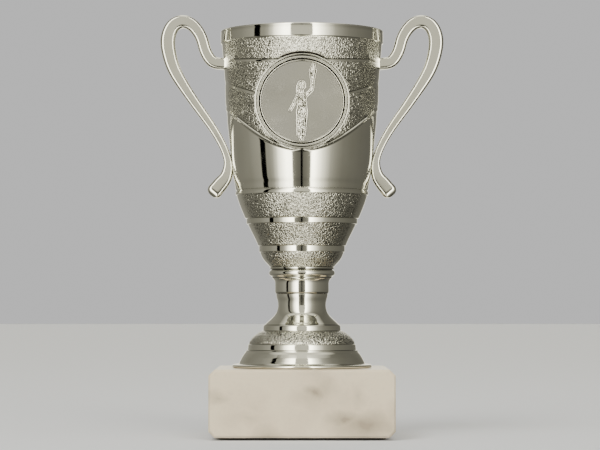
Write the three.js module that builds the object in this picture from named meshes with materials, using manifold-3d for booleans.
// A small two-handled trophy cup on a square marble base, with a round emblem on its front.
// Millimetres, +Z up. The origin is on the table under the middle of the base, and the emblem
// faces -Y. One threaded rod runs up the middle and clamps base, foot, collar and bowl together.
import * as THREE from "three";
import { mergeVertices } from "three/addons/utils/BufferGeometryUtils.js";
import Module from "manifold-3d";

const wasm = await Module();
wasm.setup();

// ---------------------------------------------------------------- driving dimensions

// Marble base and the felt under it
const feltThickness = 0.8;
const feltInset = 2.4; // from the marble's sides
const baseWidth = 55;
const baseHeight = 20;
const baseChamfer = 1.8; // along the four edges that run front to back
const baseArris = 0.6; // broken edge round the front and back faces

// Pedestal foot, a hollow moulding
const footRadius = 21.3;
const flangeThickness = 1;
const skirtRadius = 19;
const waistRadius = 7.3;
const footHeight = 22.4;
const footWall = 2.2;

// Collar between foot and bowl
const collarHeight = 8.2;
const collarRadius = 8.2;
const beadRadius = 10.05;

// Bowl
const bowlHeight = 72;
const bowlFootRadius = 9.75;
const mouthRadius = 24.8;
const bowlWall = 1.6;
const bowlFloor = 3.4;
const rimBand = 4.1;

// Spigots that centre the stacked pieces
const spigotRadius = 5;
const spigotLength = 3;
const spigotClearance = 0.3;

// Rod and hardware, M5
const rodRadius = 2.5;
const rodClearance = 0.3; // round the rod, in the holes that it passes through
const threadClearance = 0.15;
const nutAcrossFlats = 8;
const nutHeight = 4;
const washerRadius = 5;
const washerThickness = 1;
const lockWasherRadius = 4.6;
const lockWasherThickness = 1.3;
const rodEndProud = 2; // free thread past each nut
const recessClearance = 1.2; // round the washer, in the recess under the base
const recessDepth = 9.6;

// Handles
const handleRise = 3; // the centreline's top above the rim
const handleReach = 16.2; // its furthest point outside the mouth
const handleHeight = 52.3; // from that top down to the tip's middle
const handleDepth = 3.8; // front to back
const handleBevel = 0.7;
const upperJointDrop = 9.8; // below the rim
const lowerJointShare = 0.82; // of handleHeight, down from the handle's top
const pegRadius = 1.1;
const handlePadRadius = 2.3;
const handlePadLength = 2.4;

// Emblem and its holder
const emblemRadius = 12.5;
const emblemThickness = 0.9;
const adhesiveThickness = 0.3;
const adhesiveMargin = 1;
const emblemSink = 0.5; // the emblem's face below the ring's
const emblemClearance = 0.2; // round the emblem
const ringWidth = 1.35;
const holderFloor = 0.5;
const emblemDrop = 23.5; // the emblem's centre below the rim
const holderPegRadius = 1.2;
const holderPegSpacing = 14;

// Fits
const contactGap = 0.05; // between flat faces that rest on each other
const cutGap = 0.3; // round a piece that is cut to its neighbour's curve
const roundSteps = 44; // facets of a large turned piece
const smallSteps = 24;

// ---------------------------------------------------------------- levels

const baseTop = feltThickness + baseHeight;
const footTop = baseTop + footHeight;
const collarTop = footTop + collarHeight;
const bowlBottom = collarTop;
const rim = bowlBottom + bowlHeight;
const bowlInsideFloor = bowlBottom + bowlFloor;
const upperJoint = rim - upperJointDrop;
const handleTop = rim + handleRise;
const lowerJoint = handleTop - lowerJointShare * handleHeight;
const emblemCentre = rim - emblemDrop;

const rodBore = rodRadius + rodClearance;
const recessRadius = washerRadius + recessClearance;

// ---------------------------------------------------------------- helpers

// A smooth curve through [place, value] stations, with a cubic between each two of them.
function through(stations, at) {
  const last = stations.length - 1;
  const found = stations.findIndex(([place]) => place >= at);
  const i = Math.min(Math.max((found < 0 ? last : found) - 1, 0), last - 1);
  const slope = (k) => {
    const [x0, y0] = stations[Math.max(k - 1, 0)];
    const [x1, y1] = stations[Math.min(k + 1, last)];
    return (y1 - y0) / (x1 - x0);
  };
  const [x0, y0] = stations[i];
  const [x1, y1] = stations[i + 1];
  const span = x1 - x0;
  const t = Math.min(Math.max((at - x0) / span, 0), 1);
  const u = 1 - t;
  return (
    y0 * u * u * (1 + 2 * t) +
    y1 * t * t * (3 - 2 * t) +
    span * t * u * (slope(i) * u - slope(i + 1) * t)
  );
}

// Points of a circular arc, both ends included. Angles in degrees, from +X towards +Y.
function arc(cx, cy, radius, from, to, steps) {
  return Array.from({ length: steps + 1 }, (_, i) => {
    const a = THREE.MathUtils.degToRad(from + ((to - from) * i) / steps);
    return [cx + radius * Math.cos(a), cy + radius * Math.sin(a)];
  });
}

// A closed mesh's geometry as a solid that can be joined and cut.
function solidOf(geometry) {
  const bare = geometry.index ? geometry.toNonIndexed() : geometry.clone();
  bare.deleteAttribute("normal");
  bare.deleteAttribute("uv");
  const merged = mergeVertices(bare, 1e-4);
  return new wasm.Manifold(
    new wasm.Mesh({
      numProp: 3,
      vertProperties: merged.attributes.position.array,
      triVerts: new Uint32Array(merged.index.array),
    }),
  );
}

// A solid turned about Z from a closed outline of [radius, z] points, up its outside first.
function turned(outline, steps = roundSteps) {
  const closed = [...outline, outline[0]];
  const points = closed.map(([r, z]) => new THREE.Vector2(r, z));
  return solidOf(new THREE.LatheGeometry(points, steps).rotateX(Math.PI / 2));
}

// A round bar along "x", "y" or "z" between two places on that axis.
function bar(along, radius, from, to, x, y, z, steps = smallSteps) {
  const g = new THREE.CylinderGeometry(radius, radius, to - from, steps);
  if (along === "x") g.rotateZ(-Math.PI / 2);
  if (along === "z") g.rotateX(Math.PI / 2);
  const middle = (from + to) / 2;
  const shift = { x: [middle, 0, 0], y: [0, middle, 0], z: [0, 0, middle] };
  g.translate(...shift[along]).translate(x, y, z);
  return solidOf(g);
}

// An outline in the XZ plane, extruded along Y about y = 0, with its edges bevelled.
function extrudedAlongY(shape, depth, bevel) {
  const g = new THREE.ExtrudeGeometry(shape, {
    depth: depth - 2 * bevel,
    bevelThickness: bevel,
    bevelSize: bevel,
    bevelOffset: -bevel,
    bevelSegments: 1,
  });
  g.translate(0, 0, -(depth - 2 * bevel) / 2);
  return solidOf(g.rotateX(Math.PI / 2));
}

function shapeOf(points) {
  return new THREE.Shape(points.map(([x, z]) => new THREE.Vector2(x, z)));
}

const finishes = {
  marble: { color: 0xe2ddd2, roughness: 0.35, metalness: 0 },
  felt: { color: 0x1c1c1e, roughness: 0.95, metalness: 0 },
  silver: { color: 0xc9c6ba, roughness: 0.12, metalness: 1 },
  satin: { color: 0xbdbab0, roughness: 0.4, metalness: 1 },
  zinc: { color: 0xa9adb0, roughness: 0.35, metalness: 1 },
  adhesive: { color: 0xe8e6df, roughness: 0.8, metalness: 0 },
};

const trophy = new THREE.Group();

function place(name, solid, finish) {
  const made = solid.getMesh();
  const geometry = new THREE.BufferGeometry();
  geometry.setAttribute("position", new THREE.BufferAttribute(made.vertProperties, 3));
  geometry.setIndex(new THREE.BufferAttribute(made.triVerts, 1));
  geometry.computeVertexNormals();
  const mesh = new THREE.Mesh(geometry, new THREE.MeshStandardMaterial(finishes[finish]));
  mesh.name = name;
  trophy.add(mesh);
}

// ---------------------------------------------------------------- base

// A thin square of felt with round corners. It covers the nut's recess.
function feltPad() {
  const half = baseWidth / 2 - feltInset;
  const cornerRadius = 2;
  const c = half - cornerRadius;
  const corners = [
    [c, c],
    [-c, c],
    [-c, -c],
    [c, -c],
  ];
  const outline = corners.flatMap(([x, y], i) =>
    arc(x, y, cornerRadius, 90 * i, 90 * (i + 1), 4),
  );
  const options = { depth: feltThickness - contactGap, bevelEnabled: false };
  return solidOf(new THREE.ExtrudeGeometry(shapeOf(outline), options));
}

// A sawn and polished block: eight-sided from the front, drilled and counterbored from below.
function marbleBase() {
  const half = baseWidth / 2;
  const c = baseChamfer;
  const low = feltThickness;
  const outline = [
    [-half + c, low],
    [half - c, low],
    [half, low + c],
    [half, baseTop - c],
    [half - c, baseTop],
    [-half + c, baseTop],
    [-half, baseTop - c],
    [-half, low + c],
  ];
  return extrudedAlongY(shapeOf(outline), baseWidth, baseArris)
    .subtract(bar("z", rodBore, low - 1, baseTop + 1, 0, 0, 0))
    .subtract(bar("z", recessRadius, low - 1, low + recessDepth, 0, 0, 0));
}

// ---------------------------------------------------------------- pedestal foot and collar

// The foot's outside above the flange, as [share of footHeight, radius]: a flared skirt, a
// rounded band, a thin ring and a waist.
const ringRadius = 16.4;
const neckRadius = 7.9;
const footOutline = [
  [0.06, skirtRadius],
  [0.14, skirtRadius - 0.7],
  [0.22, ringRadius + 0.6],
  [0.3, ringRadius],
  [0.36, ringRadius - 0.5],
  [0.43, ringRadius - 2],
  [0.475, ringRadius - 3.3],
  [0.5, waistRadius + 4.4],
  [0.57, waistRadius + 4.2],
  [0.63, waistRadius + 2.9],
  [0.7, waistRadius + 1.1],
  [0.78, waistRadius + 0.1],
  [0.86, waistRadius],
  [0.96, neckRadius - 0.1],
  [1, neckRadius],
];

function pedestalFoot() {
  const bottom = baseTop + contactGap;
  const lipRound = flangeThickness / 2;
  const outside = footOutline.map(([share, r]) => [r, baseTop + share * footHeight]);
  const level = (share) => baseTop + share * footHeight;
  const socketFloor = footTop - spigotLength - spigotClearance;
  const inside = [
    [spigotRadius + spigotClearance, footTop],
    [spigotRadius + spigotClearance, socketFloor],
    [rodBore, socketFloor],
    [rodBore, level(0.62)],
    [waistRadius - footWall, level(0.62)],
    [waistRadius + 4.2 - footWall, level(0.47)],
    [ringRadius - footWall - 0.6, level(0.3)],
    [skirtRadius - footWall, bottom],
  ];
  const flangeFoot = [footRadius - lipRound, bottom];
  const lip = arc(footRadius - lipRound, bottom + lipRound, lipRound, -90, 90, 4);
  return turned([flangeFoot, ...lip.slice(1), ...outside, ...inside]);
}

function stemCollar() {
  const bottom = footTop + contactGap;
  const spigotEnd = footTop - spigotLength;
  const beadHalf = 1.5;
  const beadMiddle = collarTop - 1.8;
  const beadBulge = 1.1;
  const bead = arc(0, 0, 1, -90, 90, 6).map(([x, z]) => [
    beadRadius - beadBulge + beadBulge * x,
    beadMiddle + beadHalf * z,
  ]);
  const top = collarTop - contactGap;
  const socketFloor = collarTop - spigotLength - spigotClearance;
  return turned([
    [rodBore, spigotEnd],
    [spigotRadius, spigotEnd],
    [spigotRadius, bottom],
    [neckRadius, bottom],
    [collarRadius, bottom + 0.6],
    [collarRadius, bottom + 3.4],
    [collarRadius + 0.4, bottom + 4.3],
    ...bead,
    [bowlFootRadius, top],
    [spigotRadius + spigotClearance, top],
    [spigotRadius + spigotClearance, socketFloor],
    [rodBore, socketFloor],
  ]);
}

// ---------------------------------------------------------------- bowl

// The bowl's outside, as [share of bowlHeight, share of the way from foot to mouth radius].
const bowlOutline = [
  [0, 0],
  [0.0375, 0.15],
  [0.101, 0.262],
  [0.19, 0.468],
  [0.278, 0.64],
  [0.368, 0.741],
  [0.546, 0.84],
  [0.667, 0.897],
  [0.79, 0.918],
  [0.935, 0.973],
  [1, 1],
];

function bowlRadiusAt(z) {
  const share = through(bowlOutline, (z - bowlBottom) / bowlHeight);
  return bowlFootRadius + share * (mouthRadius - bowlFootRadius);
}

// Heights up the wall from one level to another, in equal steps.
function levels(from, to, steps) {
  return Array.from({ length: steps + 1 }, (_, i) => from + ((to - from) * i) / steps);
}

function bowlOutside(margin) {
  const bandBottom = rim - rimBand;
  const wall = levels(bowlBottom, bandBottom, 15).map((z) => [bowlRadiusAt(z) + margin, z]);
  const band = [mouthRadius + margin, bandBottom + 0.4];
  return [...wall, band];
}

// The space that the bowl takes up, grown by the cut gap. Pieces that sit on it are cut by this.
function bowlEnvelope() {
  const outside = bowlOutside(cutGap);
  return turned([[0, bowlBottom], ...outside, [mouthRadius + cutGap, rim], [0, rim]]);
}

function cupBowl() {
  const lip = bowlWall / 2;
  const lipCentre = mouthRadius - lip;
  const spigotEnd = bowlBottom - spigotLength;
  const rimRound = arc(lipCentre, rim - lip, lip, 0, 180, 4);
  const inside = levels(rim - rimBand, bowlInsideFloor, 10).map((z) => [
    bowlRadiusAt(z) - bowlWall,
    z,
  ]);
  const shell = turned([
    [rodBore, spigotEnd],
    [spigotRadius, spigotEnd],
    [spigotRadius, bowlBottom],
    ...bowlOutside(0),
    ...rimRound,
    ...inside,
    [rodBore, bowlInsideFloor],
  ]);
  const pegHole = pegRadius + cutGap;
  const across = mouthRadius + 5;
  const holderHole = holderPegRadius + cutGap;
  return [
    bar("x", pegHole, -across, across, 0, 0, upperJoint),
    bar("x", pegHole, -across, across, 0, 0, lowerJoint),
    ...holderPegHeights().map((z) => bar("y", holderHole, -across, 0, 0, 0, z)),
  ].reduce((left, cut) => left.subtract(cut), shell);
}

// ---------------------------------------------------------------- handles

// The centreline, as [share of handleReach outside the mouth, share of handleHeight down].
const handleSweep = [
  [0.228, 0.193],
  [0.29, 0.157],
  [0.352, 0.103],
  [0.438, 0.054],
  [0.568, 0.013],
  [0.735, 0],
  [0.889, 0.021],
  [0.975, 0.069],
  [1, 0.126],
  [0.969, 0.193],
  [0.9, 0.265],
  [0.79, 0.333],
  [0.494, 0.473],
  [0.179, 0.611],
];
// Below that it lies along the bowl, as [distance off the bowl, share of handleHeight down].
const handleTail = [
  [2.7, 0.695],
  [1.3, 0.771],
  [0.9, 0.839],
  [2.1, 0.91],
  [4, 0.949],
  [6.6, 1],
];
// Half the handle's width, as [share of its length, half width].
const handleHalfWidths = [
  [0, 1.8],
  [0.23, 2],
  [0.36, 2.3],
  [0.58, 1.65],
  [0.75, 1.3],
  [0.87, 1.2],
  [0.95, 1.7],
  [1, 2],
];

function handleCentreline() {
  const z = (share) => handleTop - share * handleHeight;
  const start = new THREE.Vector2(bowlRadiusAt(upperJoint) - 0.4, upperJoint);
  const sweep = handleSweep.map(
    ([out, down]) => new THREE.Vector2(mouthRadius + out * handleReach, z(down)),
  );
  const tail = handleTail.map(
    ([off, down]) => new THREE.Vector2(bowlRadiusAt(z(down)) + off, z(down)),
  );
  return new THREE.SplineCurve([start, ...sweep, ...tail]);
}

// The handle's flat outline: the centreline offset to both sides, with a round tip.
function handleOutline() {
  const curve = handleCentreline();
  const steps = 46;
  const sideOf = (side) =>
    levels(0, 1, steps).map((u) => {
      const p = curve.getPointAt(u);
      const t = curve.getTangentAt(u);
      const w = side * through(handleHalfWidths, u);
      return [p.x - t.y * w, p.y + t.x * w];
    });
  const end = curve.getPointAt(1);
  const t = curve.getTangentAt(1);
  const heading = THREE.MathUtils.radToDeg(Math.atan2(t.y, t.x));
  const tipRadius = through(handleHalfWidths, 1);
  const tip = arc(end.x, end.y, tipRadius, heading + 90, heading - 90, 8).slice(1, -1);
  return [...sideOf(1), ...tip, ...sideOf(-1).reverse()];
}

// side is 1 for the handle on +X and -1 for the one on -X.
function handle(side, envelope) {
  const flat = handleOutline().map(([x, z]) => [side * x, z]);
  const peg = (z) => {
    const from = bowlRadiusAt(z) - bowlWall + contactGap;
    const ends = [side * from, side * (from + bowlWall + 2)].sort((a, b) => a - b);
    return bar("x", pegRadius, ends[0], ends[1], 0, 0, z);
  };
  const padFrom = bowlRadiusAt(upperJoint) - 1;
  const padEnds = [side * padFrom, side * (padFrom + handlePadLength)].sort((a, b) => a - b);
  return extrudedAlongY(shapeOf(flat), handleDepth, handleBevel)
    .add(bar("x", handlePadRadius, padEnds[0], padEnds[1], 0, 0, upperJoint))
    .subtract(envelope)
    .add(peg(upperJoint))
    .add(peg(lowerJoint));
}

// ---------------------------------------------------------------- emblem

const pocketRadius = emblemRadius + emblemClearance;
const holderRadius = pocketRadius + ringWidth;
const pocketDepth = contactGap + adhesiveThickness + emblemThickness + emblemSink;
// The flat of the ring stands clear of the bowl at the widest place that the ring covers.
const pocketFloor = bowlRadiusAt(emblemCentre + holderRadius) + cutGap + holderFloor;
const holderFront = pocketFloor + pocketDepth;

function holderPegHeights() {
  return [-1, 1].map((s) => emblemCentre + (s * holderPegSpacing) / 2);
}

// A round metal-look ring with a skirt that follows the bowl, and two pegs into its wall.
function emblemHolder(envelope) {
  const disc = (radius, front, back) =>
    bar("y", radius, -front, -back, 0, 0, emblemCentre, roundSteps);
  const bowlCentreline = bowlRadiusAt(emblemCentre);
  const skirtBack = Math.sqrt(bowlCentreline ** 2 - holderRadius ** 2) - 1;
  const body = disc(holderRadius, holderFront, skirtBack)
    .subtract(disc(pocketRadius, holderFront + 1, pocketFloor))
    .subtract(envelope);
  return holderPegHeights().reduce((made, z) => {
    const back = bowlRadiusAt(z) - bowlWall + contactGap;
    return made.add(bar("y", holderPegRadius, -pocketFloor + 0.1, -back, 0, 0, z));
  }, body);
}

function emblemAdhesive() {
  const back = pocketFloor + contactGap;
  const radius = emblemRadius - adhesiveMargin;
  const front = pocketFloor + adhesiveThickness;
  return bar("y", radius, -front, -back, 0, 0, emblemCentre, roundSteps);
}

function emblemDisc() {
  const back = pocketFloor + adhesiveThickness + contactGap;
  const front = back + emblemThickness;
  return bar("y", emblemRadius, -front, -back, 0, 0, emblemCentre, roundSteps);
}

// ---------------------------------------------------------------- rod, nuts and washers

function washer(low, radius, thickness) {
  return turned(
    [
      [rodBore, low],
      [radius, low],
      [radius, low + thickness],
      [rodBore, low + thickness],
    ],
    smallSteps,
  );
}

// A split spring washer: a ring with a slot cut through one side.
function lockWasher(low) {
  const slot = solidOf(
    new THREE.BoxGeometry(lockWasherRadius, 0.8, 4 * lockWasherThickness).translate(
      lockWasherRadius / 2 + 1,
      0,
      low + lockWasherThickness / 2,
    ),
  );
  return washer(low, lockWasherRadius, lockWasherThickness).subtract(slot);
}

// A hexagon nut with its corners turned off at both faces.
function nut(low) {
  const corner = nutAcrossFlats / Math.sqrt(3);
  const chamfer = 0.6;
  const prism = solidOf(
    new THREE.CylinderGeometry(corner, corner, nutHeight, 6)
      .rotateX(Math.PI / 2)
      .translate(0, 0, low + nutHeight / 2),
  );
  const bored = rodRadius + threadClearance;
  const turnedBlank = turned(
    [
      [bored, low],
      [corner - chamfer, low],
      [corner + 0.2, low + chamfer / 2],
      [corner + 0.2, low + nutHeight - chamfer / 2],
      [corner - chamfer, low + nutHeight],
      [bored, low + nutHeight],
    ],
    smallSteps,
  );
  return prism.intersect(turnedBlank);
}

const topWasherLow = bowlInsideFloor + contactGap;
const topNutLow = topWasherLow + washerThickness + contactGap;
const recessCeiling = feltThickness + recessDepth;
const bottomWasherLow = recessCeiling - contactGap - washerThickness;
const lockWasherLow = bottomWasherLow - contactGap - lockWasherThickness;
const bottomNutLow = lockWasherLow - contactGap - nutHeight;

function tieRod() {
  const low = bottomNutLow - rodEndProud;
  const high = topNutLow + nutHeight + rodEndProud;
  const chamfer = 0.5;
  return turned(
    [
      [0, low],
      [rodRadius - chamfer, low],
      [rodRadius, low + chamfer],
      [rodRadius, high - chamfer],
      [rodRadius - chamfer, high],
      [0, high],
    ],
    smallSteps,
  );
}

// ---------------------------------------------------------------- assembly

const envelope = bowlEnvelope();

place("felt_pad", feltPad(), "felt");
place("marble_base", marbleBase(), "marble");
place("pedestal_foot", pedestalFoot(), "silver");
place("stem_collar", stemCollar(), "silver");
place("cup_bowl", cupBowl(), "silver");
place("handle_left", handle(-1, envelope), "silver");
place("handle_right", handle(1, envelope), "silver");
place("emblem_holder", emblemHolder(envelope), "silver");
place("emblem_adhesive", emblemAdhesive(), "adhesive");
place("emblem_disc", emblemDisc(), "satin");
place("tie_rod", tieRod(), "zinc");
place("top_nut", nut(topNutLow), "zinc");
place("top_washer", washer(topWasherLow, washerRadius, washerThickness), "zinc");
place("bottom_nut", nut(bottomNutLow), "zinc");
place("bottom_washer", washer(bottomWasherLow, washerRadius, washerThickness), "zinc");
place("bottom_lock_washer", lockWasher(lockWasherLow), "zinc");

export default trophy;
